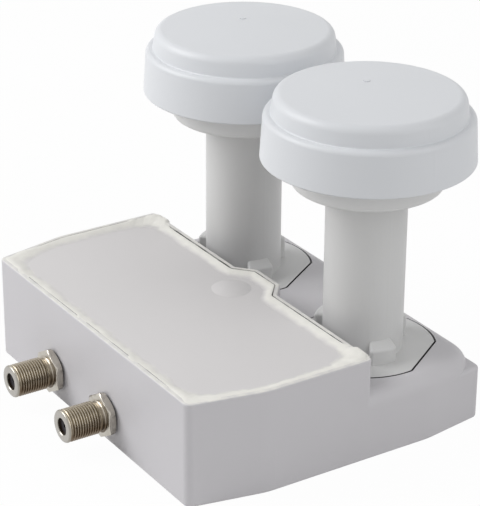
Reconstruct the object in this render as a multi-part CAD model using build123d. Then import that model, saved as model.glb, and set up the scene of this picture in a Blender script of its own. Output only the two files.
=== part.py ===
from build123d import *
import os

# A twin-feed satellite LNB: a moulded housing with a sealed cover, two feed horns under weather
# caps, and two threaded outlets on the rear wall.
# Millimetres, +Z along the feed axes, +X from the left feed to the right one, +Y from the outlets
# to the feeds. The origin is on the underside, midway between the two feed axes.

# Feed horns
feed_spacing = 62.7
neck_diameter = 23.0
neck_length = 49.9
neck_wall = 2.75
bowl_radius = 21.4
bowl_depth = 19.1
bowl_wall = 2.0
bowl_edge_round = 1.2
throat_wall = 2.0
flange_thickness = 3.2
flange_clearance = 0.35

# Foot plate of each horn, flush with the deck, with two front flats and a straight rear edge
plate_radius = 20.8
plate_thickness = 3.0
plate_flat_depth = 2.4
plate_flat_angles = (33, 147)
plate_clearance = 0.6
plate_rear_gap = 1.2

# Screw lugs round the foot of each neck: their directions, and heights at the outside and the neck
lug_angles = (-9.5, 96.5, 208.0)
lug_outer_heights = (4.3, 6.2, 8.1)
lug_neck_heights = (6.3, 8.4, 8.1)
lug_depth = 2.7
lug_arc = 35
lug_top_round = 1.0
lug_side_round = 0.9

# Weather caps, stepped in two tiers, that rest on the horn's flange and snap under it
cap_gap = 2.7
cap_wall = 1.6
cap_skirt = 13.0
cap_skirt_draft = 0.8
cap_ledge = 2.1
cap_tier = 5.9
cap_tier_draft = 0.7
cap_rim_round = 0.4
cap_shoulder_round = 1.5
cap_crease_round = 0.4
cap_top_round = 2.5
cap_dome = 0.6
catch_overlap = 0.3
catch_height = 1.6
catch_gap = 0.15
gate_mark_x = -6.3
gate_mark_y = 3.2
gate_mark_radius = 0.9
gate_mark_height = 0.2
seal_section = 1.8
seal_fit = 0.02

# Housing
side_margin = 26.7
front_margin = 3.9
neck_to_box = 4.4
box_depth = 56.35
box_height = 31.2
deck_height = 20.1
deck_ledge_drop = 3.6
ledge_round = 1.2
deck_edge_round = 4.4
deck_corner_round = 13.0
deck_thickness = 2.4
rear_taper = 4.7
rear_taper_length = 22.65
front_taper = 3.1
front_taper_length = 20.2
corner_round = 2.4
inner_corner_round = 1.0
shoulder_round = 22.0
box_corner_round = 1.4
bump_base_half = 11.3
bump_front_half = 5.9
bump_depth = 4.6
bump_round = 1.5
wall = 2.4
rim = 1.3
rim_round = 0.5
floor_thickness = 2.2
base_round = 0.8
well_wall = 1.8
well_seat = 2.0
gasket_thickness = 1.0
gasket_lip = 0.3
pass_clearance = 0.7

# Cover with a stepped edge, and the sealant that fills the step
cover_clearance = 0.15
cover_flange = 1.6
cover_step = 2.0
cover_recess = 0.9
cover_wall = 1.6
cover_front_round = 8.0
cover_rear_round = 11.0
bead_width = 2.5
bead_clearance = 0.25
bead_recess = 0.4
boss_radius = 5.8
boss_height = 0.9
boss_x = -1.0
boss_setback = 7.9

# Threaded outlets: places along the rear wall, and the turned body
outlet_left_x = -19.8
outlet_right_x = 10.9
outlet_height = 9.0
thread_radius = 4.76
thread_length = 10.7
relief_radius = 4.2
relief_length = 1.0
nose_chamfer = 0.7
nose_hole_radius = 2.6
nose_lip = 1.0
hex_across_flats = 12.0
hex_thickness = 2.3
hex_chamfer = 0.4
shank_radius = 4.4
shank_clearance = 0.3
bore_radius = 3.3
washer_radius = 5.5
washer_thickness = 0.5
contact_radius = 0.9
contact_setback = 1.5
socket_radius = 0.5
socket_depth = 8.0
pin_radius = 0.5
pin_reach = 3.0
entry_radius = 0.6
bush_fit = 0.03

# Die-cast chassis, circuit board and shield inside the housing
chassis_clearance = 0.4
chassis_base = 2.0
chassis_wall = 2.0
cup_wall = 6.0
upstand_thickness = 3.0
upstand_half = 8.0
upstand_rise = 6.5
board_thickness = 1.6
board_inset = 0.5
board_rear_gap = 0.3
solder_gap = 0.05
shield_sheet = 0.5
shield_height = 9.0
shield_flange = 5.0
shield_side_margin = 16.0
shield_rear_margin = 15.0
shield_front_margin = 8.0
shield_corner_round = 2.0

# Screws and their holes
screw_radius = 1.5
screw_head_radius = 2.75
screw_head_height = 1.9
screw_clearance = 0.2
screw_reach = 2.0
tap_relief = 0.8
head_clearance = 0.4
screw_boss_radius = 3.2
board_screw_radius = 1.25
board_screw_head_radius = 2.2
board_screw_head_height = 1.5
thread_fit = 0.05

# Chip packages on the board: length, width and height, and how far they stand from the shield
converter_size = (6.0, 6.0, 0.9)
switch_size = (7.0, 7.0, 0.9)
regulator_size = (4.5, 2.5, 1.5)
crystal_size = (3.2, 2.5, 0.8)
chip_margin = 10.0

# Places that follow from the sizes above
neck_radius = neck_diameter / 2
bore = neck_radius - neck_wall
feeds = {"left": -feed_spacing / 2, "right": feed_spacing / 2}
outlets = {"left": outlet_left_x, "right": outlet_right_x}
lugs = list(zip(lug_angles, lug_outer_heights, lug_neck_heights))
box_front = -(neck_radius + neck_to_box)
rear = box_front - box_depth
front = plate_radius + front_margin
side = feed_spacing / 2 + side_margin
plate_flat = plate_radius - plate_flat_depth
plate_rear = -box_front - plate_rear_gap
ledge_z = deck_height - deck_ledge_drop

cap_radius = (feed_spacing - cap_gap) / 2
bowl_z = deck_height + neck_length
seat_z = bowl_z + bowl_depth
flange_z = seat_z - flange_thickness
shoulder_z = seat_z + cap_wall
rim_z = shoulder_z - cap_skirt
cap_top_z = shoulder_z + cap_tier
shoulder_radius = cap_radius - cap_skirt_draft
tier_radius = shoulder_radius - cap_ledge
top_radius = tier_radius - cap_tier_draft

well_z = deck_height - plate_thickness - gasket_thickness
base_top = floor_thickness + chassis_base
board_top = outlet_height - pin_radius - solder_gap
board_z = board_top - board_thickness
cover_top = box_height - cover_recess
cover_flange_top = cover_top - cover_step
cover_z = cover_flange_top - cover_flange
washer_y = rear - washer_thickness
hex_y = washer_y - hex_thickness
nose_y = hex_y - relief_length - thread_length
insulator_y = nose_y + nose_lip
upstand_y = rear + wall + chassis_clearance
shank_end = upstand_y + upstand_thickness

shield_half = side - shield_side_margin
shield_rear = rear + shield_rear_margin
shield_front = box_front - shield_front_margin
shield_y = (shield_rear + shield_front) / 2
shield_depth = shield_front - shield_rear


def slab(face, low, high):
    """A face drawn on the ground, raised into a prism between two heights."""
    return extrude(Pos(0, 0, low) * face, high - low)


def rounded(face, radius_at):
    """Round each corner of a face by the radius that radius_at gives for its place."""
    corners = [(Vector(v.X, v.Y), radius_at(v.X, v.Y)) for v in face.vertices()]
    for radius in sorted({r for _, r in corners if r}):
        places = [place for place, r in corners if r == radius]
        picked = [v for v in face.vertices() if min((Vector(v.X, v.Y) - p).length for p in places) < 1e-4]
        face = fillet(picked, radius)
    return face


def profile(points):
    """A closed face from (radius, place) points, where a third number rounds that corner."""
    rounds = [(Vector(*p[:2]), p[2]) for p in points if len(p) == 3]

    def radius_at(x, y):
        return next((r for place, r in rounds if (place - Vector(x, y)).length < 1e-4), 0)

    return rounded(make_face(Polyline(*[p[:2] for p in points], close=True)), radius_at)


def turned(points):
    """A solid of revolution about Z from (radius, height) points."""
    return revolve(Plane.XZ * profile(points), Axis.Z)


def turned_outlet(points):
    """A solid of revolution about an outlet's axis, from (radius, y) points."""
    return Pos(0, 0, outlet_height) * revolve(profile(points), Axis.Y)


def rod(radius, low, high, place=Pos(0, 0, 0)):
    """An upright cylinder between two heights."""
    return slab(place * Circle(radius), low, high)


def dome(radius, rise, sink):
    """A shallow dome about Z, rising from the ground, on a stub that sinks below it."""
    ball = (radius**2 + rise**2) / (2 * rise)
    return slab(Circle(radius), -sink, rise) & Pos(0, 0, rise - ball) * Sphere(ball)


def mirrored(half):
    """A closed face from the +X half of an outline, listed from rear to front."""
    return make_face(Polyline(*half, *[(-x, y) for x, y in reversed(half)], close=True))


def body_face(inset, front_round):
    """The housing's plan, tapered to the rear and to the front."""
    face = mirrored([
        (side - rear_taper, rear),
        (side, rear + rear_taper_length),
        (side, front - front_taper_length),
        (side - front_taper, front),
    ])
    face = offset(face, -inset, kind=Kind.INTERSECTION) if inset else face

    def radius_at(x, y):
        if y > front - front_taper_length / 2:
            return front_round
        return corner_round if y < rear + rear_taper_length / 2 else shoulder_round

    return rounded(face, radius_at)


def box_face(inset, rear_round, front_round):
    """The tall box's plan, with the bump in the middle of its front wall."""
    face = mirrored([
        (side - rear_taper, rear),
        (side, rear + rear_taper_length),
        (side, box_front),
        (bump_base_half, box_front),
        (bump_front_half, box_front + bump_depth),
    ])
    face = offset(face, -inset, kind=Kind.INTERSECTION) if inset else face

    def radius_at(x, y):
        if y < rear + rear_taper_length / 2:
            return rear_round
        if y < (rear + rear_taper_length + box_front) / 2:
            return shoulder_round
        return front_round if abs(x) > (side + bump_base_half) / 2 else bump_round

    return rounded(face, radius_at)


def rim_face(gap=0):
    """The space inside the box's rim, less a gap."""
    return box_face(rim + gap, inner_corner_round, inner_corner_round)


def panel_face(inset=0):
    """The cover's raised panel in plan, less an inset."""
    return box_face(rim + bead_width + inset, cover_rear_round - inset, cover_front_round - inset)


def plate_face(grow=0):
    """A horn's foot plate in plan, about its own axis, grown by a clearance."""
    face = Sketch() + Circle(plate_radius + grow)
    span = 2 * plate_radius
    for angle in plate_flat_angles:
        face -= Rot(0, 0, angle) * Pos(plate_flat + grow + span / 2, 0) * Rectangle(span, 2 * span)
    return face - Pos(0, -plate_rear - grow - span / 2) * Rectangle(2 * span, span)


def lug_places():
    """Axes of the screws that stand under the lugs, about the horn's axis."""
    return [Rot(0, 0, angle) * Pos(neck_radius, 0) for angle in lug_angles]


def foot_face(grow=0):
    """The neck and its screw bosses in plan, below the foot plate."""
    face = Sketch() + Circle(neck_radius + grow)
    for place in lug_places():
        face += place * Circle(screw_boss_radius + grow)
    return face


def skirt_inside(z):
    """Inner radius of the cap's tapered skirt at a height."""
    return cap_radius - cap_wall - cap_skirt_draft * (z - rim_z) / (seat_z - rim_z)


flange_radius = skirt_inside(seat_z) - flange_clearance
seal_z = seat_z - flange_thickness / 2
seal_radius = skirt_inside(seal_z) - seal_section / 2 - seal_fit
groove_radius = seal_radius - seal_section / 2 - seal_fit
groove_half = seal_section / 2 + seal_fit


def horn_lug(angle, outer, inner):
    """Rounded lug on the foot plate that backs one screw, sloping up to the neck."""
    root = neck_radius - neck_wall / 2
    wedge = Plane.XZ * profile([
        (root, deck_height),
        (neck_radius + lug_depth, deck_height),
        (neck_radius + lug_depth, deck_height + outer, lug_top_round),
        (neck_radius, deck_height + inner),
        (root, deck_height + inner),
    ])
    lug = revolve(wedge, Axis.Z, lug_arc)
    uprights = lug.edges().filter_by(Axis.Z).sort_by(lambda edge: edge.distance_to(Vertex(0, 0, deck_height)))
    return Rot(0, 0, angle - lug_arc / 2) * fillet(uprights[-2:], lug_side_round)


def feed_horn():
    """Cast horn about its own axis: waveguide, neck, choke bowl, cap flange, foot plate and lugs."""
    horn = turned([
        (bore, board_top),
        (neck_radius, board_top),
        (neck_radius, bowl_z),
        (bowl_radius, bowl_z, bowl_edge_round),
        (bowl_radius, flange_z),
        (flange_radius, flange_z),
        (flange_radius, seal_z - groove_half),
        (groove_radius, seal_z - groove_half),
        (groove_radius, seal_z + groove_half),
        (flange_radius, seal_z + groove_half),
        (flange_radius, seat_z),
        (bowl_radius - bowl_wall, seat_z),
        (bowl_radius - bowl_wall, bowl_z + bowl_wall),
        (bore + throat_wall, bowl_z + bowl_wall),
        (bore + throat_wall, seat_z),
        (bore, seat_z),
    ])
    horn += slab(plate_face() - Circle(bore), deck_height - plate_thickness, deck_height)
    horn += slab(foot_face() - Circle(bore), board_top, deck_height)
    for angle, outer, inner in lugs:
        horn += horn_lug(angle, outer, inner)
    for place in lug_places():
        horn -= rod(screw_radius + thread_fit, board_top, deck_height + screw_reach + tap_relief, place)
    return horn


def horn_cap():
    """Two-tier weather cap about the horn's axis, with a snap bead inside its skirt."""
    cap = turned([
        (0, rim_z),
        (cap_radius, rim_z, cap_rim_round),
        (shoulder_radius, shoulder_z, cap_shoulder_round),
        (tier_radius, shoulder_z, cap_crease_round),
        (top_radius, cap_top_z, cap_top_round),
        (0, cap_top_z),
    ])
    cap -= turned([
        (0, rim_z),
        (cap_radius - cap_wall, rim_z),
        (shoulder_radius - cap_wall, seat_z),
        (tier_radius - cap_wall, seat_z),
        (top_radius - cap_wall, cap_top_z - cap_wall, cap_top_round - cap_wall),
        (0, cap_top_z - cap_wall),
    ])
    catch_top = flange_z - catch_gap
    cap += turned([
        (skirt_inside(catch_top) + cap_wall / 2, catch_top),
        (flange_radius - catch_overlap, catch_top - catch_height / 3),
        (skirt_inside(catch_top) + cap_wall / 2, catch_top - catch_height),
    ])
    cap += Pos(0, 0, cap_top_z) * dome(top_radius - cap_top_round, cap_dome, cap_wall / 2)
    mark_top = cap_top_z + cap_dome + gate_mark_height
    return cap + rod(gate_mark_radius, cap_top_z, mark_top, Pos(gate_mark_x, gate_mark_y))


def horn_gasket():
    """Flat gasket under the foot plate, about the horn's axis."""
    return slab(plate_face(gasket_lip) - foot_face(pass_clearance), well_z, well_z + gasket_thickness)


def housing_shell():
    """Moulded shell: tall box at the rear, low deck with two wells for the horns at the front."""
    shell = slab(body_face(0, corner_round), 0, ledge_z)
    shell = fillet(shell.faces().sort_by(Axis.Z)[0].edges(), base_round)
    shell = fillet(shell.faces().sort_by(Axis.Z)[-1].edges(), ledge_round)
    deck = slab(body_face(0, deck_corner_round), ledge_z / 2, deck_height)
    shell += fillet(deck.faces().sort_by(Axis.Z)[-1].edges(), deck_edge_round)
    box = slab(box_face(0, corner_round, box_corner_round), ledge_z / 2, box_height)
    shell += fillet(box.faces().sort_by(Axis.Z)[-1].edges(), rim_round)

    shell -= slab(body_face(wall, deck_corner_round - wall), floor_thickness, deck_height - deck_thickness)
    shell -= slab(box_face(wall, inner_corner_round, inner_corner_round), floor_thickness, cover_z)
    shell -= slab(rim_face(), cover_z, box_height)

    for x in feeds.values():
        well = slab(plate_face(plate_clearance + well_wall), well_z - well_seat, deck_height - deck_thickness)
        shell += Pos(x, 0) * well
        shell -= Pos(x, 0) * slab(plate_face(plate_clearance), well_z, deck_height)
        shell -= Pos(x, 0) * slab(foot_face(pass_clearance), well_z - well_seat, well_z)
        for place in lug_places():
            shell -= Pos(x, 0) * rod(screw_head_radius + head_clearance, 0, floor_thickness, place)
    for x in outlets.values():
        shell -= Pos(x) * turned_outlet([
            (0, rear),
            (shank_radius + shank_clearance, rear),
            (shank_radius + shank_clearance, rear + wall),
            (0, rear + wall),
        ])
    return shell


def cover_plate():
    """Moulded cover with a stepped edge and a round boss, hollow below."""
    cover = slab(rim_face(cover_clearance), cover_z, cover_flange_top)
    cover += slab(panel_face(), cover_z, cover_top)
    cover -= slab(panel_face(cover_wall), cover_z, cover_top - cover_wall)
    boss = dome(boss_radius, boss_height, cover_wall / 2)
    return cover + Pos(boss_x, box_front - boss_setback, cover_top) * boss


def sealant_bead():
    """Sealant between the cover's panel and the box's rim."""
    return slab(rim_face(bead_clearance) - panel_face(), cover_flange_top, box_height - bead_recess)


def outlet_body():
    """Turned outlet body with its hexagon, on the outlet's axis at x = 0."""
    body = turned_outlet([
        (nose_hole_radius, nose_y),
        (thread_radius - nose_chamfer, nose_y),
        (thread_radius, nose_y + nose_chamfer),
        (thread_radius, nose_y + thread_length),
        (relief_radius, nose_y + thread_length),
        (relief_radius, hex_y),
        (shank_radius, washer_y),
        (shank_radius, shank_end),
        (bore_radius, shank_end),
        (bore_radius, insulator_y),
        (nose_hole_radius, insulator_y),
    ])
    hexagon = RegularPolygon(hex_across_flats / 2, 6, major_radius=False, rotation=30)
    collar = extrude(hexagon - Circle(bore_radius + thread_fit), hex_thickness)
    collar = chamfer(collar.faces().sort_by(Axis.Z)[-1].outer_wire().edges(), hex_chamfer)
    return body + Pos(0, washer_y, outlet_height) * Rot(90, 0, 0) * collar


def outlet_insulator():
    """Insulating bush inside the outlet body."""
    contact_y = insulator_y + contact_setback
    return turned_outlet([
        (entry_radius, insulator_y),
        (bore_radius - bush_fit, insulator_y),
        (bore_radius - bush_fit, shank_end),
        (contact_radius + bush_fit, shank_end),
        (contact_radius + bush_fit, contact_y),
        (entry_radius, contact_y),
    ])


def outlet_contact():
    """Centre contact: a socket for the cable's core, ending in a pin on the board."""
    contact_y = insulator_y + contact_setback
    return turned_outlet([
        (socket_radius, contact_y),
        (contact_radius, contact_y),
        (contact_radius, shank_end),
        (pin_radius, shank_end),
        (pin_radius, shank_end + pin_reach),
        (0, shank_end + pin_reach),
        (0, contact_y + socket_depth),
        (socket_radius, contact_y + socket_depth),
    ])


def outlet_washer():
    """Sealing washer between the hexagon and the rear wall."""
    return turned_outlet([
        (shank_radius + thread_fit, washer_y),
        (washer_radius, washer_y),
        (washer_radius, rear),
        (shank_radius + thread_fit, rear),
    ])


def board_screw_places():
    """Corners of the shield's flange, where screws hold it and the board to the chassis."""
    half_x = shield_half + shield_flange / 2
    half_y = shield_depth / 2 + shield_flange / 2
    return [Pos(x, shield_y + y) for x in (-half_x, half_x) for y in (-half_y, half_y)]


def horn_screw_places():
    """Axes of all screws that draw the horns down."""
    return [Pos(x, 0) * place for x in feeds.values() for place in lug_places()]


def chassis():
    """Die-cast tray with a closed waveguide cup under each horn and tapped upstands for the outlets."""
    plan = body_face(wall + chassis_clearance, deck_corner_round - wall)
    inside = body_face(wall + chassis_clearance + chassis_wall, deck_corner_round - wall - chassis_wall)
    tray = slab(plan, floor_thickness, base_top) + slab(plan - inside, base_top, board_z)
    for x in feeds.values():
        tray += Pos(x, 0) * slab(Circle(bore + cup_wall) - Circle(bore), base_top, board_z)
    for place in board_screw_places():
        tray += rod(screw_boss_radius, base_top, board_z, place)
        tray -= rod(board_screw_radius + thread_fit, base_top, board_z, place)
    for place in horn_screw_places():
        tray -= rod(screw_head_radius + head_clearance, floor_thickness, base_top, place)
        tray -= rod(screw_radius + screw_clearance, base_top, board_z, place)
    for x in outlets.values():
        plot = Pos(x, (upstand_y + shank_end) / 2) * Rectangle(2 * upstand_half, upstand_thickness)
        tray += slab(plot, floor_thickness, outlet_height + upstand_rise)
        tray -= Pos(x) * turned_outlet([
            (0, upstand_y),
            (shank_radius + thread_fit, upstand_y),
            (shank_radius + thread_fit, shank_end),
            (0, shank_end),
        ])
    return tray


def circuit_board():
    """Circuit board on the chassis, across the lower ends of both waveguides."""
    inset = wall + chassis_clearance + board_inset
    face = body_face(inset, deck_corner_round - inset)
    face -= Pos(0, shank_end + board_rear_gap - side) * Rectangle(4 * side, 2 * side)
    for place in horn_screw_places():
        face -= place * Circle(screw_radius + screw_clearance)
    for place in board_screw_places():
        face -= place * Circle(board_screw_radius + screw_clearance)
    return slab(face, board_z, board_top)


def board_shield():
    """Folded sheet can over the circuit, with a screwed flange."""
    def outline(grow):
        return Pos(0, shield_y) * RectangleRounded(
            2 * (shield_half + grow), shield_depth + 2 * grow, shield_corner_round + grow)

    can = slab(outline(0), board_top, board_top + shield_height)
    can -= slab(outline(-shield_sheet), board_top, board_top + shield_height - shield_sheet)
    brim = outline(shield_flange) - outline(-shield_sheet)
    for place in board_screw_places():
        brim -= place * Circle(board_screw_radius + screw_clearance)
    return can + slab(brim, board_top, board_top + shield_sheet)


def horn_screws():
    """Screws from below that draw the horns onto the board and the deck."""
    low = base_top - screw_head_height
    tip = deck_height + screw_reach
    return Part() + [
        rod(screw_head_radius, low, base_top, place) + rod(screw_radius, base_top, tip, place)
        for place in horn_screw_places()
    ]


def board_screws():
    """Screws through the shield's flange and the board into the chassis."""
    seat = board_top + shield_sheet
    return Part() + [
        rod(board_screw_head_radius, seat, seat + board_screw_head_height, place)
        + rod(board_screw_radius, base_top, seat, place)
        for place in board_screw_places()
    ]


def chip(size, x, y):
    """A chip package standing on the board."""
    length, width, height = size
    return Pos(x, y, board_top + height / 2) * Box(length, width, height)


chip_front = shield_front - chip_margin
chip_rear = shield_rear + chip_margin

pieces = {
    "housing_shell": housing_shell(),
    "cover_plate": cover_plate(),
    "sealant_bead": sealant_bead(),
    "chassis": chassis(),
    "circuit_board": circuit_board(),
    "board_shield": board_shield(),
    "horn_screws": horn_screws(),
    "board_screws": board_screws(),
    "switch_chip": chip(switch_size, 0, chip_front),
    "voltage_regulator": chip(regulator_size, outlet_left_x, chip_rear),
    "reference_crystal": chip(crystal_size, outlet_right_x, chip_rear),
}
# What stands under each cap and at each outlet is made once and placed twice
feed_pieces = {
    "feed_horn": feed_horn(),
    "horn_cap": horn_cap(),
    "horn_gasket": horn_gasket(),
    "cap_seal": Pos(0, 0, seal_z) * Torus(seal_radius, seal_section / 2),
    "converter_chip": chip(converter_size, 0, chip_front),
}
outlet_pieces = {
    "outlet_body": outlet_body(),
    "outlet_insulator": outlet_insulator(),
    "outlet_contact": outlet_contact(),
    "outlet_washer": outlet_washer(),
}
for places, shapes in ((feeds, feed_pieces), (outlets, outlet_pieces)):
    for hand, x in places.items():
        for name, shape in shapes.items():
            pieces[f"{name}_{hand}"] = Pos(x) * shape

os.makedirs("parts", exist_ok=True)
for name, shape in pieces.items():
    export_step(shape, f"parts/{name}.step")
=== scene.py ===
# %% [markdown]
# # A twin-feed satellite LNB
#
# The object is a grey moulded housing with a sealed cover, two feed horns under pale weather caps,
# and two nickel-plated outlets. The solids come from the CAD frame and stay as they are. This lesson
# adds what the solids leave out: finishes, the uneven sealant, the outlet threads and the screw heads.

# %% Load the frame
from math import cos, pi, radians, sin, tan

import bmesh
import bpy
from mathutils import Matrix, Vector, noise


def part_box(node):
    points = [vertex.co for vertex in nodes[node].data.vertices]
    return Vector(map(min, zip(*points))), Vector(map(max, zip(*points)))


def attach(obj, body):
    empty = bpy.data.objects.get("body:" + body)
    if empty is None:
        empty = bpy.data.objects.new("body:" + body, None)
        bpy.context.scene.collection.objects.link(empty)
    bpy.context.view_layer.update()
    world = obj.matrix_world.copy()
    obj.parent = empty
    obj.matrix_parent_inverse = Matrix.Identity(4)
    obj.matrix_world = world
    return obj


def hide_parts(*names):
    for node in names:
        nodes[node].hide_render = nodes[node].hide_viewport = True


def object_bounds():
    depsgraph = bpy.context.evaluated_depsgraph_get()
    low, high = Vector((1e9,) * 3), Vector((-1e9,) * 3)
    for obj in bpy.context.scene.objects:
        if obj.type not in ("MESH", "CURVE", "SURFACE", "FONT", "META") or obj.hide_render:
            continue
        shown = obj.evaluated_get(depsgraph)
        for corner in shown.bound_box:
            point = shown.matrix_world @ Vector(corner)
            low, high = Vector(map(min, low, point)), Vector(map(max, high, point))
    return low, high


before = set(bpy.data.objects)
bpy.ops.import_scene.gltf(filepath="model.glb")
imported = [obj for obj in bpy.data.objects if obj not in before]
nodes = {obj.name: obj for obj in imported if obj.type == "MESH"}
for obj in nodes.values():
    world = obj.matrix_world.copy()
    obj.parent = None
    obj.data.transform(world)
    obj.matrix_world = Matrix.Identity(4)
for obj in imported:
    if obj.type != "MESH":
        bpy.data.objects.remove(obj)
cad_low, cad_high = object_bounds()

MM = 0.001
print("nodes", len(nodes), "CAD box", [round(v, 4) for v in (*cad_low, *cad_high)])

# %% [markdown]
# ## Camera
#
# The camera stands where the photograph was taken from. Both caps and necks are round, so their
# outlines fix the distance, the height and the focal length without any guess about the housing.
# The roll is a third of a degree, as a hand-held picture has.

# %% Camera
IMAGE_WIDTH, IMAGE_HEIGHT = 480, 506
focal_pixels, sensor_width = 2110.3, 36
view_azimuth, view_elevation, view_roll = radians(57.12), radians(24.95), radians(0.346)
camera_place = Vector((463.0, -320.8, 297.9)) * MM

level = Vector((cos(view_azimuth), sin(view_azimuth), 0))
towards = Vector((sin(view_azimuth), -cos(view_azimuth), 0))
back = cos(view_elevation) * towards + sin(view_elevation) * Vector((0, 0, 1))
right = cos(view_roll) * level + sin(view_roll) * back.cross(level)
up = back.cross(right)

camera = bpy.data.objects.new("camera", bpy.data.cameras.new("camera"))
bpy.context.scene.collection.objects.link(camera)
camera.matrix_world = Matrix.Translation(camera_place) @ Matrix((right, up, back)).transposed().to_4x4()
camera.data.sensor_width = sensor_width
camera.data.lens = sensor_width * focal_pixels / max(IMAGE_WIDTH, IMAGE_HEIGHT)
camera.data.clip_start = 0.05
bpy.context.scene.camera = camera
bpy.context.scene.view_settings.view_transform = "Standard"
print("lens", round(camera.data.lens, 1))

# %% [markdown]
# ## Shader sums in plain Python
#
# A finish is easier to read as a sum than as a web of links. The class below wraps one socket, so
# that `1 - mask * 0.2` adds its own Math nodes. The same class serves Geometry Nodes trees, because
# both kinds of tree share the Math node.


# %% Sums on sockets
class Value:
    """One output socket that takes part in Python sums."""

    def __init__(self, tree, socket):
        self.tree = tree
        self.socket = socket

    def __add__(self, other):
        return math_node(self.tree, "ADD", self, other)

    def __sub__(self, other):
        return math_node(self.tree, "SUBTRACT", self, other)

    def __rsub__(self, other):
        return math_node(self.tree, "SUBTRACT", other, self)

    def __mul__(self, other):
        return math_node(self.tree, "MULTIPLY", self, other)

    def __truediv__(self, other):
        return math_node(self.tree, "DIVIDE", self, other)

    def clamp(self, low, high):
        return math_node(self.tree, "MINIMUM", math_node(self.tree, "MAXIMUM", self, low), high)

    __radd__ = __add__
    __rmul__ = __mul__


def plug(tree, slot, item):
    """Link a Value into a socket, or set the socket's own number."""
    if isinstance(item, Value):
        tree.links.new(item.socket, slot)
    else:
        slot.default_value = item


def add_node(tree, kind, settings=None, output=0, **sockets):
    """Add any node: its settings first, then its sockets, by name with _ for a space or by number as _0."""
    node = tree.nodes.new(kind)
    for key, value in (settings or {}).items():
        setattr(node, key, value)
    for key, item in sockets.items():
        plug(tree, node.inputs[int(key[1:]) if key[1:].isdigit() else key.replace("_", " ")], item)
    return Value(tree, node.outputs[output])


def math_node(tree, operation, *items):
    """Add a Math node that works on Values and numbers."""
    sockets = {f"_{i}": item for i, item in enumerate(items)}
    return add_node(tree, "ShaderNodeMath", {"operation": operation}, **sockets)


def ramp(value, low, high):
    """0 where a value is below low, 1 where it is above high, and even in between."""
    return ((value - low) / (high - low)).clamp(0.0, 1.0)


def tone(colour, factor):
    """A colour made lighter or darker, with its alpha."""
    return (*[min(1.0, c * factor) for c in colour], 1.0)


# %% One finish
class Finish:
    """A material with one Principled shader and the nodes that feed it."""

    def __init__(self, name):
        self.material = bpy.data.materials.new(name)
        self.material.use_nodes = True
        self.tree = self.material.node_tree
        self.shader = self.tree.nodes["Principled BSDF"]
        self.place = self.node("ShaderNodeTexCoord", output=3)

    def node(self, kind, settings=None, output=0, **sockets):
        return add_node(self.tree, kind, settings, output, **sockets)

    def coordinate(self, axis, vector=None):
        """One coordinate of a vector, or else of the place: 0 is x, 1 is y and 2 is z."""
        return self.node("ShaderNodeSeparateXYZ", output=axis, Vector=vector or self.place)

    def attribute(self, name):
        """A weight that the mesh carries on its points."""
        return self.node("ShaderNodeAttribute", {"attribute_name": name}, output=2)

    def speckle(self, size, detail=2.0, roughness=0.5):
        """Noise between 0 and 1 with grains of about this size in metres."""
        sockets = {"Vector": self.place, "Scale": 1 / size, "Detail": detail, "Roughness": roughness}
        return self.node("ShaderNodeTexNoise", **sockets)

    def blend(self, mask, first, second):
        """Mix two colours by a mask."""
        return self.node("ShaderNodeMix", {"data_type": "RGBA"}, output=2, _0=mask, _6=first, _7=second)

    def shades(self, mask, colour, dark, light):
        """Mix a darker and a lighter tone of one colour by a mask."""
        return self.blend(mask, tone(colour, dark), tone(colour, light))

    def gloss(self, low, spread, size):
        """Uneven gloss: a roughness from low to low + spread, in patches of a size in metres."""
        self.set(Roughness=low + spread * self.speckle(size))

    def bump(self, height, depth):
        """Turn a height from 0 to 1 into a bump of a depth in metres."""
        self.set(Normal=self.node("ShaderNodeBump", Height=height, Distance=depth, Strength=1.0))

    def set(self, **sockets):
        for key, item in sockets.items():
            plug(self.tree, self.shader.inputs[key.replace("_", " ")], item)


# %% [markdown]
# ## Light and backdrop
#
# The photograph has soft light on a white ground. A large lamp on the left gives the shading, a weaker
# one on the right lifts the caps' far edges, and a third hangs overhead. An even grey world fills the
# rest. The ground reads as white to the camera and to shiny metal, but it is an ordinary pale surface
# for the object, so it still takes a faint shadow.

# %% Light and backdrop
ambient, lamp_distance = 0.41, 0.9
lamps = {
    "key_left": {"toward": (-0.62, -0.79, 0.70), "watts": 5.4, "width": 0.6},
    "fill_right": {"toward": (0.94, 0.34, 0.70), "watts": 2.4, "width": 0.8},
    "overhead": {"toward": (0.0, 0.01, 1.0), "watts": 0.2, "width": 0.8},
}
floor_half, floor_gap, floor_white = 4.0, 0.1 * MM, 0.97
middle = (cad_low + cad_high) / 2


def white_to_camera(tree):
    """1 for rays that see the ground directly, in a mirror or through glass."""
    rays = tree.nodes.new("ShaderNodeLightPath")
    seen = Value(tree, rays.outputs["Is Camera Ray"])
    for name in ("Is Glossy Ray", "Is Transmission Ray"):
        seen = seen + Value(tree, rays.outputs[name])
    return seen.clamp(0.0, 1.0)


world = bpy.data.worlds.new("studio")
bpy.context.scene.world = world
world.use_nodes = True
sky = world.node_tree.nodes["Background"]
plug(world.node_tree, sky.inputs["Color"], (1, 1, 1, 1))
plug(world.node_tree, sky.inputs["Strength"], white_to_camera(world.node_tree) * (1 - ambient) + ambient)

for name, lamp in lamps.items():
    light = bpy.data.objects.new(name, bpy.data.lights.new(name, "AREA"))
    bpy.context.scene.collection.objects.link(light)
    light.data.size = lamp["width"]
    light.data.energy = lamp["watts"]
    direction = Vector(lamp["toward"]).normalized()
    light.location = middle + direction * lamp_distance
    light.rotation_euler = direction.to_track_quat("Z", "Y").to_euler()

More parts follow.
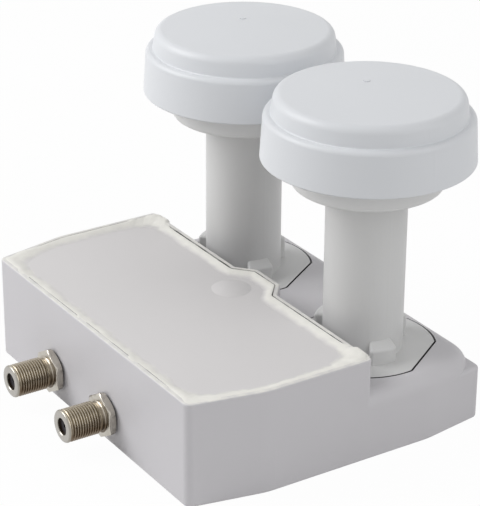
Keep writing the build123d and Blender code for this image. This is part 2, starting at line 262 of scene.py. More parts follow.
floor_z = cad_low.z - floor_gap
floor_corners = [(-1, -1), (1, -1), (1, 1), (-1, 1)]
floor_points = [(floor_half * x, floor_half * y, floor_z) for x, y in floor_corners]
floor_mesh = bpy.data.meshes.new("floor")
floor_mesh.from_pydata(floor_points, [], [(0, 1, 2, 3)])
floor = bpy.data.objects.new("floor", floor_mesh)
bpy.context.scene.collection.objects.link(floor)
ground = bpy.data.materials.new("pale_ground")
ground.use_nodes = True
paint = ground.node_tree
paint.nodes.remove(paint.nodes["Principled BSDF"])
pale = add_node(paint, "ShaderNodeBsdfDiffuse", Color=(0.8, 0.8, 0.8, 1))
glow = add_node(paint, "ShaderNodeEmission", Color=(1, 1, 1, 1), Strength=1.0)
white_share = white_to_camera(paint) * floor_white
surface = add_node(paint, "ShaderNodeMixShader", _0=white_share, _1=pale, _2=glow)
paint.links.new(surface.socket, paint.nodes["Material Output"].inputs["Surface"])
floor_mesh.materials.append(ground)
print("lamps", len(lamps), "watts", sum(lamp["watts"] for lamp in lamps.values()))

# %% [markdown]
# ## Finishes
#
# The housing and its cover are one light grey plastic with the fine grain of a spark-eroded mould, and
# the housing's rim keeps a film of the sealant that was wiped over it. The caps are smoother and whiter.
# The horns are powder coated, which leaves a soft orange-peel surface. The bowl under each cap is painted
# paler as painted bounce light, and a painted shadow line runs round their feet at the deck. Each finish is
# a few layers of noise: one slow layer for uneven colour, one quick layer for the surface.

# %% Plastic, coat and sealant
housing_colour = (0.592, 0.580, 0.600)
cover_colour = (0.685, 0.668, 0.668)
cap_colour = (0.700, 0.716, 0.742)
horn_colour = (0.635, 0.635, 0.631)
sealant_colour = (0.845, 0.832, 0.785)
# Painted shadow colours: the gap round the horns' feet and the crack along the sealant.
joint_grime, crack_grime = (0.04, 0.04, 0.04, 1), (0.05, 0.05, 0.045, 1)
mould_grain, mould_depth = 0.35 * MM, 0.012 * MM
cap_grain, cap_depth = 0.6 * MM, 0.006 * MM
rim_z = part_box("housing_shell")[1].z
film_low, film_high = rim_z - 0.24 * MM, rim_z - 0.04 * MM
# Heights where the horn's coat turns paler, as painted bounce light on the bowl.
bowl_light_low, bowl_light_high = 69.8 * MM, 71.3 * MM
# Heights below which the horn's foot is painted dark, as the shadow of its gap at the deck.
foot_shadow_low, foot_shadow_high = 20.03 * MM, 20.08 * MM


def grained_plastic(name, colour, grain, depth, roughness=0.5, uneven=0.03, film=None):
    """Moulded plastic: slow colour drift, fine grain and uneven gloss, under a film where there is one."""
    finish = Finish(name)
    plastic = finish.shades(finish.speckle(35 * MM, detail=3.0), colour, 1 - uneven, 1 + uneven)
    finish.set(Base_Color=film(finish, plastic) if film else plastic)
    finish.gloss(roughness - 0.06, 0.12, 12 * MM)
    finish.bump(finish.speckle(grain, detail=1.0), depth)
    return finish.material


def rim_film(finish, plastic):
    """The housing's colour with a film of sealant, in patches, on the top of the rim."""
    patches = ramp(finish.speckle(4 * MM), 0.0625, 0.6875)
    on_rim = ramp(finish.coordinate(2), film_low, film_high)
    return finish.blend(on_rim * patches, plastic, tone(sealant_colour, 0.97))


def powder_coat(name, colour):
    """Powder coat on a casting: soft orange peel, painted paler on the bowl as bounce light, and a painted
    shadow line round the foot.
    """
    finish = Finish(name)
    height = finish.coordinate(2)
    drift = finish.speckle(20 * MM, detail=3.0)
    neck, bowl = finish.shades(drift, colour, 0.97, 1.03), finish.shades(drift, colour, 1.15, 1.21)
    # The bowl's paler tone is painted light: bounce light under the cap.
    unshaded = finish.blend(ramp(height, bowl_light_low, bowl_light_high), neck, bowl)
    # Below the foot line the coat is painted near black: the shadow in the gap at the deck.
    finish.set(Base_Color=finish.blend(ramp(height, foot_shadow_low, foot_shadow_high), joint_grime, unshaded))
    finish.gloss(0.40, 0.12, 6 * MM)
    finish.bump(finish.speckle(1.1 * MM, detail=1.5), 0.02 * MM)
    return finish.material


def cured_sealant(name, colour, film_colour):
    """Smeared sealant: warm patches, thin where it feathers out on the cover, and painted shadow in its
    crack and along its inner edge.
    """
    finish = Finish(name)
    thick = finish.shades(finish.speckle(4 * MM, detail=5.0, roughness=0.6), colour, 0.90, 1.10)
    unshaded = finish.blend(finish.attribute("thin"), thick, tone(film_colour, 1.0))
    # The painted shade weight darkens the crack and the inner edge to stand for their shadow.
    finish.set(Base_Color=finish.blend(finish.attribute("grime"), unshaded, crack_grime))
    finish.gloss(0.50, 0.20, 3 * MM)
    finish.bump(finish.speckle(1.6 * MM, detail=3.0), 0.08 * MM)
    return finish.material


housing_plastic = grained_plastic("housing_plastic", housing_colour, mould_grain, mould_depth, film=rim_film)
cover_plastic = grained_plastic("cover_plastic", cover_colour, mould_grain, mould_depth, 0.55, uneven=0.02)
cap_plastic = grained_plastic("cap_plastic", cap_colour, cap_grain, cap_depth, 0.42, uneven=0.015)
horn_coat = powder_coat("horn_coat", horn_colour)
sealant_skin = cured_sealant("sealant_skin", sealant_colour, cover_colour)
# The joint grime in this print is the painted shadow line round the horns' feet.
print("rim film above", round(film_low, 5), "joint grime below", round(foot_shadow_high, 5))


# %% [markdown]
# ## Metals, rubber and the inner pieces
#
# The outlets are nickel over brass, so the plate is warm. The thread's roots are painted darker than its
# crests as painted shade in the grooves, and the thread and relief turn browner towards the bottom. The
# pieces inside the housing are never seen in the photograph, but they still get a finish, because the part
# may be opened up later.


# %% Metals and small materials
def plated_metal(name, colour, roughness):
    """Turned and plated metal with fine uneven gloss."""
    finish = Finish(name)
    stain = finish.speckle(4 * MM, detail=4.0)
    finish.set(Base_Color=finish.shades(stain, colour, 0.85, 1.08), Metallic=1.0)
    finish.gloss(roughness - 0.05, 0.14, 0.8 * MM)
    finish.bump(finish.speckle(0.5 * MM), 0.004 * MM)
    return finish.material


def speckled(name, colour, roughness, size=2 * MM, spread=0.12, metallic=0.0, depth=0.01 * MM):
    """A plain workshop finish: a colour with speckle, for rubber, castings and packages."""
    finish = Finish(name)
    grain = finish.speckle(size, detail=3.0)
    finish.set(Base_Color=finish.shades(grain, colour, 1 - spread, 1 + spread), Metallic=metallic)
    finish.set(Roughness=roughness - 0.05 + 0.1 * grain)
    finish.bump(grain, depth)
    return finish.material


def nickel_plate(name, nose_place, zones):
    """Nickel over brass by zones of the outlet: bright nose, thread with roots painted darker as shade, grey
    hexagon; browner towards the bottom.
    """
    face_tone, chamfer_tone = (0.50, 0.48, 0.45, 1), (0.34, 0.32, 0.28, 1)
    # The root tones are darker than the crest tones as painted shade in the thread's grooves.
    pale_root_shade, pale_crest = (0.30, 0.26, 0.19, 1), (0.46, 0.41, 0.33, 1)
    brown_root_shade, brown_crest = (0.12, 0.085, 0.055, 1), (0.19, 0.145, 0.10, 1)
    pale_relief, brown_relief = (0.44, 0.40, 0.34, 1), (0.12, 0.09, 0.06, 1)
    dull_hexagon, bright_hexagon = (0.42, 0.39, 0.34, 1), (0.62, 0.59, 0.53, 1)
    edge, brown_start_height, brown_fade_height = 0.2 * MM, 0.6 * MM, 3.5 * MM
    finish = Finish(name)
    local = finish.node("ShaderNodeVectorMath", {"operation": "SUBTRACT"}, _0=finish.place, _1=nose_place)
    flat = finish.node("ShaderNodeVectorMath", {"operation": "MULTIPLY"}, _0=local, _1=(1, 0, 1))
    reach = finish.node("ShaderNodeVectorMath", {"operation": "LENGTH"}, output=1, _0=flat)
    depth, height = finish.coordinate(1, local), finish.coordinate(2, local)
    past_face, past_nose, past_thread = [
        ramp(depth, zones[zone] - edge, zones[zone]) for zone in ("face", "nose", "thread")
    ]
    stain = finish.speckle(3 * MM, detail=4.0)
    # Browner towards the bottom of the outlet, in patches.
    lower_brown = (stain - (height - brown_start_height) / brown_fade_height).clamp(0.0, 1.0)
    on_crest = ramp(reach, zones["root"], zones["crest"])
    on_hexagon = ramp(reach, zones["crest"], zones["crest"] + edge)
    pale_thread = finish.blend(on_crest, pale_root_shade, pale_crest)
    brown_thread = finish.blend(on_crest, brown_root_shade, brown_crest)
    thread = finish.blend(lower_brown, pale_thread, brown_thread)
    relief = finish.blend(lower_brown, pale_relief, brown_relief)
    hexagon = finish.blend(stain, dull_hexagon, bright_hexagon)
    nose = finish.blend(past_face, face_tone, chamfer_tone)
    body = finish.blend(past_thread, thread, finish.blend(on_hexagon, relief, hexagon))
    finish.set(Base_Color=finish.blend(past_nose, nose, body), Metallic=1.0)
    finish.gloss(0.24, 0.12, 0.8 * MM)
    finish.bump(finish.speckle(0.4 * MM), 0.004 * MM)
    return finish.material


black_rubber = speckled("black_rubber", (0.018, 0.018, 0.018), 0.75)
grey_rubber = speckled("grey_rubber", (0.13, 0.13, 0.13), 0.7)
dark_bush = speckled("dark_bush", (0.012, 0.010, 0.014), 0.55)
cast_alloy = speckled("cast_alloy", (0.60, 0.61, 0.62), 0.5, metallic=1.0, spread=0.08, depth=0.03 * MM)
solder_mask = speckled("solder_mask", (0.03, 0.15, 0.07), 0.35, size=0.8 * MM)
tinned_sheet = plated_metal("tinned_sheet", (0.72, 0.72, 0.72), 0.3)
zinc_plate = plated_metal("zinc_plate", (0.66, 0.66, 0.67), 0.3)
bright_brass = plated_metal("bright_brass", (0.75, 0.60, 0.30), 0.2)
chip_resin = speckled("chip_resin", (0.02, 0.02, 0.022), 0.6, size=0.4 * MM)

finish_of_node = {
    "housing_shell": housing_plastic,
    "cover_plate": cover_plastic,
    "sealant_bead": sealant_skin,
    "feed_horn": horn_coat,
    "horn_cap": cap_plastic,
    "horn_gasket": black_rubber,
    "cap_seal": black_rubber,
    "outlet_washer": grey_rubber,
    "outlet_insulator": dark_bush,
    "outlet_contact": bright_brass,
    "outlet_body": zinc_plate,
    "chassis": cast_alloy,
    "circuit_board": solder_mask,
    "board_shield": tinned_sheet,
    "reference_crystal": tinned_sheet,
    "horn_screws": zinc_plate,
    "board_screws": zinc_plate,
    "converter_chip": chip_resin,
    "switch_chip": chip_resin,
    "voltage_regulator": chip_resin,
}
for name, obj in nodes.items():
    stem = name.removesuffix("_left").removesuffix("_right")
    obj.data.materials.clear()
    obj.data.materials.append(finish_of_node[stem])
print("finishes", len(set(finish_of_node.values())))

# %% [markdown]
# ## Mesh helpers
#
# Three helpers serve the pieces below. The first turns points and faces into an object, with named
# weights on its points that a finish can read. The second gives a mesh smooth faces and sharp corners.
# The third makes quads between a list of equal rings, which is how lathe work, the hexagon and the
# sealant are all made.


# %% Mesh helpers
def make_piece(name, points, faces, material, sharp, **weights):
    """A mesh object at the origin, smooth except at sharp corners, with a named weight per point."""
    mesh = bpy.data.meshes.new(name)
    mesh.from_pydata(points, [], faces)
    mesh.materials.append(material)
    for weight, values in weights.items():
        mesh.attributes.new(weight, "FLOAT", "POINT").data.foreach_set("value", values)
    shaded(mesh, sharp)
    obj = bpy.data.objects.new(name, mesh)
    bpy.context.scene.collection.objects.link(obj)
    return obj


def shaded(mesh, sharp):
    """Merge doubles, point the faces outwards and set smooth shading with sharp corners."""
    work = bmesh.new()
    work.from_mesh(mesh)
    bmesh.ops.remove_doubles(work, verts=work.verts, dist=1e-7)
    bmesh.ops.recalc_face_normals(work, faces=work.faces)
    work.to_mesh(mesh)
    work.free()
    mesh.shade_smooth()
    mesh.set_sharp_from_angle(angle=radians(sharp))


def ring_faces(rings, count):
    """Quads between successive rings of count points, and from the last ring back to the first."""
    faces = []
    for i in range(rings):
        low, high = i * count, (i + 1) % rings * count
        for j in range(count):
            k = (j + 1) % count
            faces.append((low + j, low + k, high + k, high + j))
    return faces


# %% [markdown]
# ## The sealant
#
# On the real unit the cover is dropped in and a cream sealant is run round it and wiped by hand. It
# is narrow along the straight edges, stands up in fat blobs at the two front corners, and on the right
# side it is smeared over the rim. Along the front wall it has shrunk back, and the shadow in that crack is
# painted as a dark line. A swept tube would be too even, so each station on the rim gets a cross-section
# of its own to the nearest point of the cover, pushed about by slow noise.

# %% Outline of the box
shell_low, shell_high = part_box("housing_shell")
bead_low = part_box("sealant_bead")[0]
side, rear = shell_high.x, shell_low.y
box_front = -15.9 * MM
rear_taper, rear_taper_length = 4.7 * MM, 22.65 * MM
bump_base, bump_front, bump_depth = 11.3 * MM, 5.9 * MM, 4.6 * MM
rim, rim_round, bead_width, station_spacing = 1.3 * MM, 0.5 * MM, 2.5 * MM, 0.5 * MM
cover_top = shell_high.z - 0.9 * MM

half_outline = [
    (side - rear_taper, rear),
    (side, rear + rear_taper_length),
    (side, box_front),
    (bump_base, box_front),
    (bump_front, box_front + bump_depth),
]
box_outline = [Vector(p) for p in half_outline] + [Vector((-x, y)) for x, y in reversed(half_outline)]


def inset_outline(points, inset):
    """Move every edge of an anticlockwise outline inwards and meet the edges again."""
    moved = []
    for i, point in enumerate(points):
        before = (point - points[i - 1]).normalized()
        after = (points[(i + 1) % len(points)] - point).normalized()
        inward_before = Vector((-before.y, before.x))
        inward_after = Vector((-after.y, after.x))
        moved.append(point + (inward_before + inward_after) * inset / (1 + inward_before.dot(inward_after)))
    return moved


def rounded_loop(points, radii, arc_steps=12):
    """A closed outline with every corner rounded to its own radius."""
    loop = []
    for i, point in enumerate(points):
        to_before = (points[i - 1] - point).normalized()
        to_after = (points[(i + 1) % len(points)] - point).normalized()
        half = to_before.angle(to_after) / 2
        start = point + to_before * radii[i] / tan(half)
        end = point + to_after * radii[i] / tan(half)
        centre = point + (to_before + to_after).normalized() * radii[i] / sin(half)
        for step in range(arc_steps + 1):
            along = start.lerp(end, step / arc_steps) - centre
            loop.append(centre + along.normalized() * radii[i])
    return loop


def edges_of(loop):
    """The edges of a closed loop as pairs of points."""
    return list(zip(loop, loop[1:] + loop[:1]))


def stations(loop, spacing):
    """Points round a closed loop, no further apart than about the spacing."""
    places = []
    for start, end in edges_of(loop):
        count = max(1, round((end - start).length / spacing))
        places += [start.lerp(end, step / count) for step in range(count)]
    return places


def nearest_on(loop, place):
    """The point of a closed loop that is nearest to a place."""
    found = []
    for start, end in edges_of(loop):
        along = end - start
        t = min(1.0, max(0.0, (place - start).dot(along) / along.length_squared))
        found.append(start + along * t)
    return min(found, key=lambda point: (point - place).length)


rim_radii = [1.0, 20.0, 1.0, 1.5, 1.5]
panel_radii = [11.0, 20.0, 8.0, 2.5, 4.0]
mirrored_order = [0, 1, 2, 3, 4, 4, 3, 2, 1, 0]
rim_outline = inset_outline(box_outline, rim)
panel_outline = inset_outline(box_outline, rim + bead_width)
rim_loop = rounded_loop(rim_outline, [rim_radii[i] * MM for i in mirrored_order])
panel_loop = rounded_loop(panel_outline, [panel_radii[i] * MM for i in mirrored_order])
rim_stations = stations(rim_loop, station_spacing)
print("sealant stations", len(rim_stations))


# %% Where the sealant is fat or wiped
front_places = [(-53.0 * MM, -17.2 * MM, 5.2 * MM), (53.8 * MM, -17.2 * MM, 5.4 * MM)]
front_slope = 2.6 * MM
rear_inset, rear_reach, rear_slope = 3 * MM, 13 * MM, 8 * MM
wiped_x, wiped_y, wiped_reach, wiped_slope = 54 * MM, -18.5 * MM, 9 * MM, 4 * MM
side_band, side_fade = 3 * MM, 8 * MM
wall_band, rear_fade, front_fade = 2 * MM, 6 * MM, 5 * MM


def ease(value, low, high):
    """Smooth step from 0 at low to 1 at high."""
    t = min(1.0, max(0.0, (value - low) / (high - low)))
    return t * t * (3 - 2 * t)


def wander(place, size, seed):
    """Slow noise between -1 and 1 along the cover's edge."""
    return noise.noise(Vector((place.x / size, place.y / size, seed)))


def near(value, edge, reach):
    """1 where a value is at an edge or beyond it, fading to 0 at reach on the inner side."""
    return ease(value, edge - reach, edge - reach / 3)


def blob(place, x, y, reach, slope):
    """Weight of a blob of sealant round a point, 1 on its top and falling to 0 over its slope."""
    return ease(reach - (place - Vector((x, y))).length, 0.0, slope)


def front_blobs(place):
    """The two fat blobs where the bead starts and ends, at the front corners."""
    return max(blob(place, x, y, reach, front_slope) for x, y, reach in front_places)


def rear_blobs(place):
    """The flatter filling of the two rear corners."""
    x, y = side - rear_taper - rear_inset, rear + rear_inset
    return max(blob(place, hand * x, y, rear_reach, rear_slope) for hand in (-1, 1))


def smear(place):
    """How far the sealant is wiped over the rim: the right side, the corners, and patches at the rear."""
    on_right = near(place.x, side - side_band, side_fade)
    on_rear = near(-place.y, -rear - wall_band, rear_fade)
    rear_patches = 0.8 * on_rear * ease(wander(place, 9 * MM, seed=7), 0.22, 0.40)
    rear_corners = 0.9 * rear_blobs(place) * (1 - 0.7 * on_rear)
    front_corners = max(blob(place, hand * wiped_x, wiped_y, wiped_reach, wiped_slope) for hand in (-1, 1))
    return max(on_right, front_corners, rear_corners, rear_patches)


# %% Sealant
wiped_width, edge_sink, blob_sink = 1.0 * MM, 0.03 * MM, 0.4 * MM
bulge_reach, bulge_start = 1.3 * MM, 2.5 * MM
lap_width, lap_slow, lap_quick = 1.2 * MM, 0.8 * MM, 0.5 * MM
crown_height, crown_wander, front_crown, rear_crown = 0.10 * MM, 0.08 * MM, 1.05 * MM, 0.25 * MM
crack_least, crack_width, crack_front, crack_left = 0.04 * MM, 0.20 * MM, 0.12 * MM, 0.22 * MM
crack_depth, crack_wall = 0.10 * MM, 0.05 * MM
ripple_slow, ripple_quick, skin = 0.08 * MM, 0.05 * MM, 0.02 * MM
steps_across = (0.0, 0.02, 0.05, 0.09, 0.14, 0.2, 0.28, 0.38, 0.48, 0.58, 0.68, 0.78, 0.89, 1.0)


def rim_surface(inwards):
    """Height of the rim at a distance from the outer wall, over its rounded edge."""
    short = min(rim_round, max(0.0, rim_round - inwards))
    return shell_high.z - rim_round + (rim_round**2 - short**2) ** 0.5


def crown_form(t, rise):
    """Height across the bead: a quick rise from the rim, then a long fall to the cover."""
    return sin(pi / 2 * t / rise) if t < rise else 0.5 + 0.5 * cos(pi * (t - rise) / (1 - rise))


def bead_edge(outer, outward):
    """Place and height of the bead's outer edge: wiped over the rim, and bulging where it is fat."""
    mound = front_blobs(outer)
    ragged = 0.15 * wander(outer, 3 * MM, seed=2) + 0.15 * wander(outer, 1.2 * MM, seed=9)
    reach = min(max(0.0, smear(outer) * (1 + ragged)) * wiped_width, rim)
    bulge = bulge_reach * mound * ease(side - abs(outer.x), rim, rim + bulge_start)
    height = rim_surface(rim - reach) - edge_sink - blob_sink * mound
    return outer + outward * reach + Vector((0, bulge)), height


def bead_crack(outer):
    """Width of the crack along the rim and how dark its painted shadow is; wiped sealant closes it."""
    open_share = 1 - smear(outer)
    on_front = near(outer.y, box_front - wall_band, front_fade)
    wider = on_front * (crack_front + crack_left * ease(-outer.x, 0, 15 * MM))
    # How dark the crack's painted shadow is: darker along the front wall and in slow patches.
    crack_shade = 0.35 + 0.30 * on_front + 0.35 * ease(wander(outer, 6 * MM, seed=10), -0.3, 0.2)
    return (crack_width + wider) * open_share + crack_least, crack_shade * open_share


def sealant_section(outer, inner):
    """One cross-section from the rim to the cover and back underneath: points with painted shade and
    thinness.
    """
    over, mound = smear(outer), front_blobs(outer)
    outward = (outer - inner).normalized()
    edge, edge_z = bead_edge(outer, outward)
    crack, crack_shade = bead_crack(outer)
    lap = lap_width + lap_slow * wander(inner, 7 * MM, seed=3) + lap_quick * wander(inner, 2 * MM, seed=4)
    feather = inner - outward * lap
    width = (feather - edge).length
    crown = crown_height + crown_wander * wander(outer, 5 * MM, seed=5)
    crown += front_crown * mound + rear_crown * rear_blobs(outer)
    section = []
    for distance in (0.0, crack):
        place = edge.lerp(feather, distance / width)
        section.append(((*place, edge_z - crack_depth * (1 - over)), crack_shade, 0.0))
    for part in steps_across:
        t = (crack + crack_wall) / width * (1 - part) + part
        place = edge.lerp(feather, t)
        lift = crown * crown_form(t, 0.35 - 0.15 * mound)
        ripple = ripple_slow * wander(place, 2.2 * MM, seed=6)
        ripple += ripple_quick * wander(place, 0.9 * MM, seed=8)
        fall = edge_z + (cover_top + skin - edge_z) * ease(t, 0.0, 1.0)
        z = max(fall + lift + ripple * sin(pi * t), cover_top + skin / 2)
        # A faint painted shadow along the inner edge of the wiped sealant.
        grime = 0.10 * over * max(0.0, 1 - abs(t - 0.86) / 0.12)
        thin = ease(t + 0.15 * wander(place, 3 * MM, seed=11), 0.45 + 0.25 * over, 1.05)
        section.append(((*place, z), grime, thin))
    under_z = bead_low.z + skin
    back = [(*feather, cover_top + skin / 4), (*inner, cover_top + skin / 4), (*inner, under_z)]
    back += [(*outer, under_z), (*outer, edge_z - crack_depth - crack_wall)]
    return section + [(point, 0.0, 0.0) for point in back]


sections = [sealant_section(place, nearest_on(panel_loop, place)) for place in rim_stations]
sealant_rows = [row for section in sections for row in section]
sealant = make_piece(
    "sealant_wiped",
    [point for point, _, _ in sealant_rows],
    ring_faces(len(sections), len(sections[0])),
    sealant_skin,
    sharp=60,
    grime=[grime for _, grime, _ in sealant_rows],
    thin=[thin for _, _, thin in sealant_rows],
)
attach(sealant, "root")
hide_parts("sealant_bead")
print("sealant faces", len(sealant.data.polygons))

# %% [markdown]
# ## The outlets
#
# Each outlet is turned from bar: a rounded nose, a fine thread, a plain relief, a hexagon with a
# turned chamfer, and the shank that goes through the wall. Everything but the thread and hexagon is
# lathe work. The thread follows a rule, so Geometry Nodes make it: a grid is rolled into a barrel,
# its rows climb by one pitch per turn, and each row gets the radius of its place on the thread form.

# %% Thread by Geometry Nodes
thread_crest, thread_root = 4.75 * MM, 4.28 * MM
thread_pitch = 25.4 * MM / 32
rows_per_pitch, thread_segments = 6, 72
row_nudge, root_share, flank_slope = 0.001, 0.1, 4


def start_tree(name, labels):
    """A node tree with a Geometry input and named number inputs, and those inputs by name."""
    tree = bpy.data.node_groups.new(name, "GeometryNodeTree")
    tree.interface.new_socket("Geometry", in_out="OUTPUT", socket_type="NodeSocketGeometry")
    tree.interface.new_socket("Geometry", in_out="INPUT", socket_type="NodeSocketGeometry")
    for label in labels:
        tree.interface.new_socket(label, in_out="INPUT", socket_type="NodeSocketFloat")
    given = tree.nodes.new("NodeGroupInput")
    return tree, {label: Value(tree, given.outputs[label]) for label in ("Geometry", *labels)}


def end_tree(tree, shape, material):
    """Make instances real, paint them and send them out."""
    real = add_node(tree, "GeometryNodeRealizeInstances", Geometry=shape)
    painted = add_node(tree, "GeometryNodeSetMaterial", Geometry=real, Material=material)
    tree.links.new(painted.socket, tree.nodes.new("NodeGroupOutput").inputs[0])
    return tree


def thread_tree(material):
    """A node tree that rolls a grid into a helical thread along Z."""
    tree, given = start_tree("outlet_thread", ("Root Radius", "Crest Radius", "Pitch", "Length", "Turns"))
    turns, pitch, length = given["Turns"], given["Pitch"], given["Length"]
    grid = add_node(
        tree,
        "GeometryNodeMeshGrid",
        Size_X=1.0,
        Size_Y=1.0,
        Vertices_X=thread_segments + 1,
        Vertices_Y=turns * rows_per_pitch + 1,
    )
    position = add_node(tree, "GeometryNodeInputPosition")
    turn = add_node(tree, "ShaderNodeSeparateXYZ", output=0, Vector=position) + 0.5
    row = (add_node(tree, "ShaderNodeSeparateXYZ", output=1, Vector=position) + 0.5) * turns
    phase = math_node(tree, "FRACT", row + row_nudge)
    form = ((0.5 - math_node(tree, "ABSOLUTE", phase - 0.5) - root_share) * flank_slope).clamp(0.0, 1.0)
    height = ((row - 1 + turn) * pitch).clamp(0.0, length)
    fade = (height / pitch).clamp(0.0, 1.0) * ((length - height) / pitch).clamp(0.0, 1.0)
    radius = given["Root Radius"] + (given["Crest Radius"] - given["Root Radius"]) * form * fade
    angle = turn * (2 * pi)
    place = add_node(
        tree,
        "ShaderNodeCombineXYZ",
        X=radius * math_node(tree, "COSINE", angle),
        Y=radius * math_node(tree, "SINE", angle),
        Z=height,
    )
    moved = add_node(tree, "GeometryNodeSetPosition", Geometry=grid, Position=place)
    rolled = add_node(tree, "GeometryNodeMergeByDistance", Geometry=moved, Distance=1e-6)
    return end_tree(tree, rolled, material)


def evaluated_mesh(tree, points=(), **inputs):
    """Run a node tree on an object of loose points and keep its result as a plain mesh."""
    mesh = bpy.data.meshes.new("carrier")
    mesh.from_pydata(points, [], [])
    carrier = bpy.data.objects.new("carrier", mesh)
    bpy.context.scene.collection.objects.link(carrier)
    modifier = carrier.modifiers.new("nodes", "NODES")
    modifier.node_group = tree
    for item in tree.interface.items_tree:
        label = item.name.replace(" ", "_").lower()
        if item.in_out == "INPUT" and label in inputs:
            modifier[item.identifier] = inputs[label]
    shaped = carrier.evaluated_get(bpy.context.evaluated_depsgraph_get())
    result = bpy.data.meshes.new_from_object(shaped)
    bpy.data.objects.remove(carrier)
    return result


print("thread pitch in mm", round(thread_pitch / MM, 4))


# %% Outlet bodies
nose_chamfer, nose_lip, nose_hole, hole_chamfer = 0.6 * MM, 1.0 * MM, 2.45 * MM, 0.2 * MM
thread_length, thread_turns, face_depth = 10.7 * MM, 15.0, 0.15 * MM
thread_start, core_radius = nose_chamfer + face_depth, thread_root - 0.02 * MM
relief_radius, relief_fillet, ring_step = 4.2 * MM, 0.25 * MM, 0.1 * MM
hex_flats, hex_thickness, washer_thickness = 12.0 * MM, 2.3 * MM, 0.5 * MM
hex_front_steps, hex_back_steps, hex_chamfer_slope = (0, 0.12, 0.24, 0.36, 0.5), (0.3, 0.15, 0), 2.2
shank_radius, bore_radius, collar_radius = 4.4 * MM, 3.3 * MM, 3.5 * MM
lathe_segments = 72


def lathe_points(profile):
    """Rings of points about the outlet's axis, from (radius, depth) pairs behind the nose."""
    points = []
    for radius, depth in profile:
        for j in range(lathe_segments):
            angle = 2 * pi * j / lathe_segments
            points.append((radius * cos(angle), radius * sin(angle), depth))
    return points


def hexagon_radius(angle, limit):
    """Radius of the hexagon at an angle, no more than the turned chamfer allows."""
    from_flat = (angle + pi / 6) % (pi / 3) - pi / 6
    return min(hex_flats / 2 / cos(from_flat), limit)


def hexagon_points(depth):
    """Rings of the hexagon from its nose side to the wall, with a turned chamfer on both faces."""
    points = []
    steps = [step * MM for step in hex_front_steps]
    steps += [hex_thickness - step * MM for step in hex_back_steps]
    for step in steps:
        limit = hex_flats / 2 - ring_step + min(step, hex_thickness - step) * hex_chamfer_slope
        for j in range(lathe_segments):
            angle = 2 * pi * j / lathe_segments
            radius = hexagon_radius(angle, limit)
            points.append((radius * cos(angle), radius * sin(angle), depth + step))
    inner = [(collar_radius, depth + hex_thickness), (collar_radius, depth)]
    return points + lathe_points(inner), len(steps) + len(inner)


def outlet_profile(hex_depth, length):
    """The lathe work as (radius, depth) pairs: nose, core of the thread, relief, shank and bore."""
    profile = [(nose_hole + hole_chamfer, 0.0), (thread_crest - nose_chamfer - ring_step, 0.0)]
    for quarter in (0.25, 0.5, 0.75, 1.0):
        angle = quarter * pi / 2
        profile.append((thread_crest - nose_chamfer * (1 - sin(angle)), nose_chamfer * (1 - cos(angle))))
    profile += [
        (thread_crest, nose_chamfer + ring_step),
        (core_radius, thread_start + hole_chamfer),
        (core_radius, thread_length),
        (relief_radius, thread_length + ring_step),
        (relief_radius, hex_depth - relief_fillet),
        (relief_radius + relief_fillet, hex_depth + ring_step / 2),
        (shank_radius, hex_depth + 3 * ring_step),
        (shank_radius, length),
        (bore_radius, length),
        (bore_radius, nose_lip),
        (nose_hole, nose_lip),
        (nose_hole, hole_chamfer),
    ]
    return profile


def outlet_piece(name, node):
    """A detailed outlet where the CAD outlet stands, nose towards -Y."""
    low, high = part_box(node)
    axis_place = Vector(((low.x + high.x) / 2, 0, (low.z + high.z) / 2))
    zones = {"face": face_depth, "nose": nose_chamfer, "thread": thread_length}
    zones |= {"root": thread_root, "crest": thread_crest}
    plate = nickel_plate(f"{name}_nickel", axis_place + Vector((0, low.y, 0)), zones)
    hex_depth = shell_low.y - low.y - washer_thickness - hex_thickness
    profile = outlet_profile(hex_depth, high.y - low.y)
    points = lathe_points(profile)
    faces = ring_faces(len(profile), lathe_segments)
    collar, rings = hexagon_points(hex_depth)
    faces += [tuple(len(points) + i for i in face) for face in ring_faces(rings, lathe_segments)]
    points += collar
    thread = evaluated_mesh(
        thread_tree(plate),
        root_radius=thread_root,
        crest_radius=thread_crest,
        pitch=thread_pitch,
        length=thread_length - thread_start,
        turns=thread_turns,
    )
    faces += [tuple(len(points) + i for i in polygon.vertices) for polygon in thread.polygons]
    points += [(*vertex.co.xy, vertex.co.z + thread_start) for vertex in thread.vertices]
    placed = [(axis_place.x + x, low.y + depth, axis_place.z + y) for x, y, depth in points]
    obj = make_piece(name, placed, faces, plate, sharp=35)
    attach(obj, "root")
    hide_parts(node)
    print(name, "faces", len(obj.data.polygons))


for hand in ("left", "right"):
    outlet_piece(f"threaded_outlet_{hand}", f"outlet_body_{hand}")

# %% [markdown]
# ## The horn screws
#
# Six screws come up through the underside and draw the horns down. They are seen only from below, in
# their round holes. All six are alike, so Geometry Nodes build one, with a chamfered head and a cross
# recess cut by a boolean, and set an instance on each of the six points.


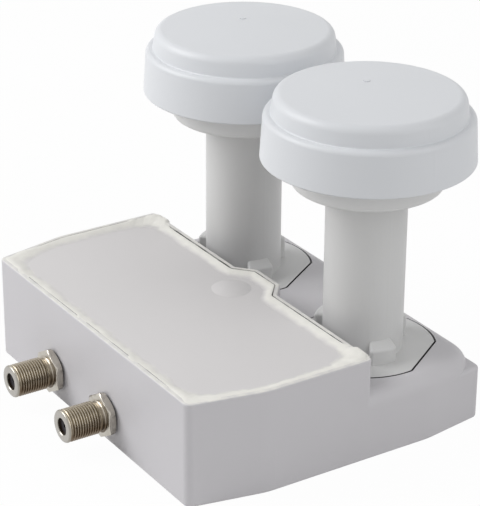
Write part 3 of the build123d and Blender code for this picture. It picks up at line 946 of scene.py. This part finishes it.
# %% Screws by Geometry Nodes
def screw_tree(material):
    """A node tree that sets a cross-recess screw, head down, on every point."""
    sides, chamfer_share, chamfer_overlap = 40, 0.3, 1.1
    labels = ["Head Radius", "Head Height", "Shank Radius", "Shank Length"]
    labels += ["Recess Length", "Recess Width", "Recess Depth"]
    tree, given = start_tree("horn_screws", labels)

    def raised(shape, z):
        up = add_node(tree, "ShaderNodeCombineXYZ", Z=z)
        return add_node(tree, "GeometryNodeTransform", Geometry=shape, Translation=up)

    def cylinder(radius, low, high):
        shape = add_node(tree, "GeometryNodeMeshCylinder", Vertices=sides, Radius=radius, Depth=high - low)
        return raised(shape, (low + high) * 0.5)

    def boolean(operation, base, tools):
        node = tree.nodes.new("GeometryNodeMeshBoolean")
        node.operation = operation
        if operation == "DIFFERENCE":
            tree.links.new(base.socket, node.inputs["Mesh 1"])
        for tool in tools if operation == "DIFFERENCE" else [base, *tools]:
            tree.links.new(tool.socket, node.inputs["Mesh 2"])
        return Value(tree, node.outputs[0])

    radius, height = given["Head Radius"], given["Head Height"]
    chamfer = height * chamfer_share
    rim_cone = add_node(
        tree,
        "GeometryNodeMeshCone",
        Vertices=sides,
        Radius_Bottom=radius - chamfer,
        Radius_Top=radius,
        Depth=chamfer * chamfer_overlap,
    )
    head = cylinder(radius, chamfer, height)
    shank = cylinder(given["Shank Radius"], height * 0.5, height + given["Shank Length"])
    blank = boolean("UNION", rim_cone, [head, shank])
    arms = []
    for swapped in (False, True):
        length, width = given["Recess Length"], given["Recess Width"]
        size = add_node(
            tree,
            "ShaderNodeCombineXYZ",
            X=width if swapped else length,
            Y=length if swapped else width,
            Z=given["Recess Depth"] * 2,
        )
        arms.append(add_node(tree, "GeometryNodeMeshCube", Size=size))
    screw = boolean("DIFFERENCE", blank, arms)
    placed = add_node(tree, "GeometryNodeInstanceOnPoints", Points=given["Geometry"], Instance=screw)
    return end_tree(tree, placed, material)


lug_angles = (-9.5, 96.5, 208.0)
neck_radius = 11.5 * MM
screw_low, screw_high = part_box("horn_screws")
head_height = 1.9 * MM
screw_points = []
for hand in ("left", "right"):
    horn_low, horn_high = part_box(f"feed_horn_{hand}")
    for lug_angle in lug_angles:
        turn = radians(lug_angle)
        feed_x = (horn_low.x + horn_high.x) / 2
        screw_points.append((feed_x + neck_radius * cos(turn), neck_radius * sin(turn), screw_low.z))
screw_mesh = evaluated_mesh(
    screw_tree(zinc_plate),
    screw_points,
    head_radius=2.75 * MM,
    head_height=head_height,
    shank_radius=1.5 * MM,
    shank_length=screw_high.z - screw_low.z - head_height,
    recess_length=3.4 * MM,
    recess_width=0.8 * MM,
    recess_depth=1.1 * MM,
)
shaded(screw_mesh, 30)
screws = bpy.data.objects.new("cross_recess_screws", screw_mesh)
bpy.context.scene.collection.objects.link(screws)
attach(screws, "root")
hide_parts("horn_screws")
print("screw faces", len(screw_mesh.polygons))
